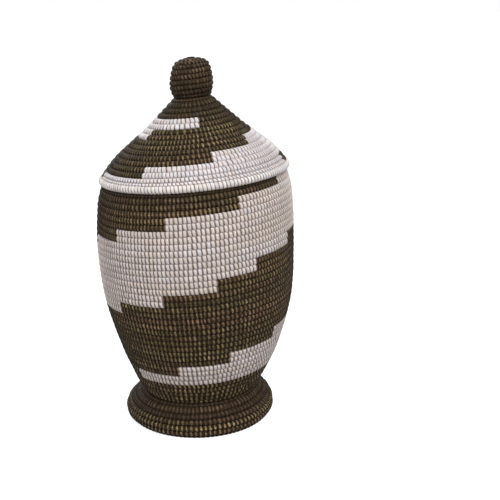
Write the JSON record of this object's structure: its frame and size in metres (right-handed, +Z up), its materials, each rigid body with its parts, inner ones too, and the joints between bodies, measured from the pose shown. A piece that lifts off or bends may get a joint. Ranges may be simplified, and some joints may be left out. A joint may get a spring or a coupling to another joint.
{
  "type": "lidded basket",
  "caption": "Tall coiled grass basket on a flared foot, with a conical lift-off lid and a ball knob, lashed in a stepped spiral of black and white strips.",
  "frame": {"origin": "middle of the ring that the foot stands on, at table height", "axes": "+Z up through the knob, -Y towards the front as pictured, +X to the right"},
  "size_m": [0.2507, 0.2505, 0.4632],
  "materials": {
    "black_strip": "satin",
    "white_strip": "satin",
    "grass": "matte"
  },
  "bodies": {
    "basket": {"floor_eye": "grass", "floor_coil": "black_strip", "foot_coil": "black_strip", "base_courses": "black_strip", "wall_black": "black_strip", "wall_white": "white_strip"},
    "lid": {"lid_rim": "white_strip", "lid_white": "white_strip", "lid_black": "black_strip", "lid_collar": "black_strip", "knob_coil": "black_strip", "knob_eye": "grass"}
  },
  "joints": [
    {"name": "lid_lift", "type": "slide", "parent": "basket", "child": "lid", "axis": [0, 0, 1], "range_m": [0, 0.2]}
  ]
}
